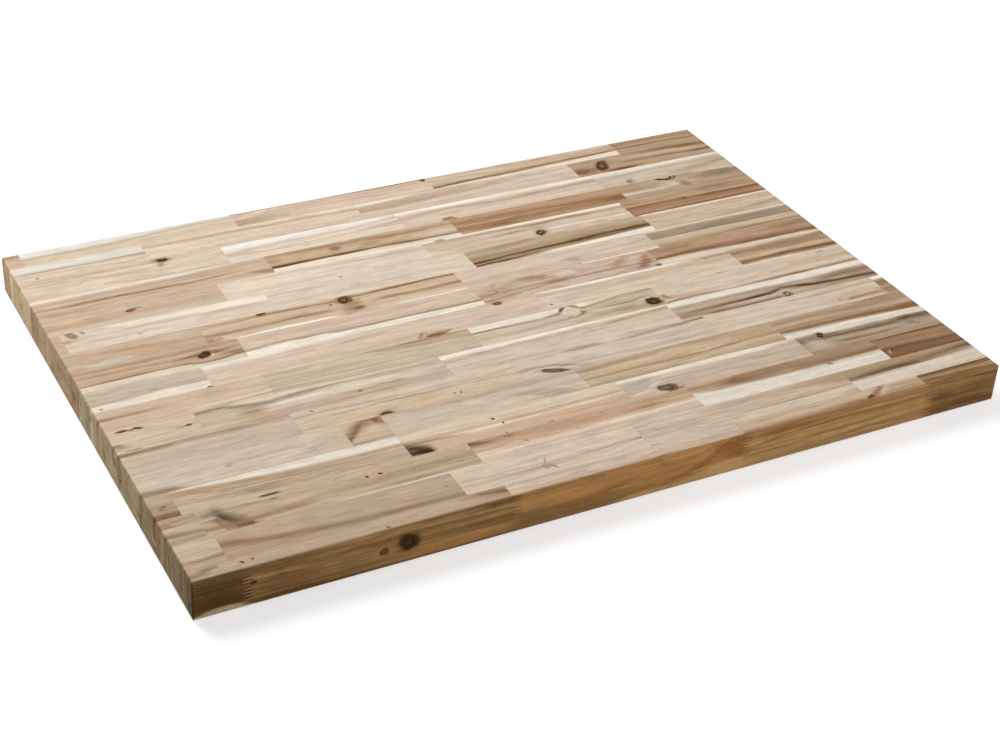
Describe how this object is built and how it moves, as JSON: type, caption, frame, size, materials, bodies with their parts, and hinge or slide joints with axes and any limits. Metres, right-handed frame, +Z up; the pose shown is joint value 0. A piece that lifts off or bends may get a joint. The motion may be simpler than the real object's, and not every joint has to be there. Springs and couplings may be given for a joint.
{
  "type": "butcher block countertop",
  "caption": "Flat rectangular worktop panel glued up from long wood staves of finger-jointed blocks, with eased edges and corners.",
  "frame": {"origin": "on the underside, below the middle of the panel", "axes": "+X along the staves, which is the length; +Y towards the back edge; +Z up through the thickness, out of the top face"},
  "size_m": [0.9144, 0.635, 0.0444],
  "materials": {
    "cream_wood": "sanded, unfinished",
    "pinkish_wood": "sanded, unfinished",
    "tan_wood": "sanded, unfinished",
    "greyish_wood": "sanded, unfinished",
    "brown_wood": "sanded, unfinished"
  },
  "bodies": {
    "root": {"stave_01": "pinkish_wood", "stave_02": "cream_wood", "stave_03": "pinkish_wood", "stave_04": "tan_wood", "stave_05": "pinkish_wood", "stave_06": "cream_wood", "stave_07": "greyish_wood", "stave_08": "pinkish_wood", "stave_09": "tan_wood", "stave_10": "greyish_wood", "stave_11": "tan_wood", "stave_12": "pinkish_wood", "stave_13": "greyish_wood", "stave_14": "tan_wood", "stave_15": "tan_wood", "stave_16": "cream_wood", "stave_17": "brown_wood"}
  },
  "joints": []
}
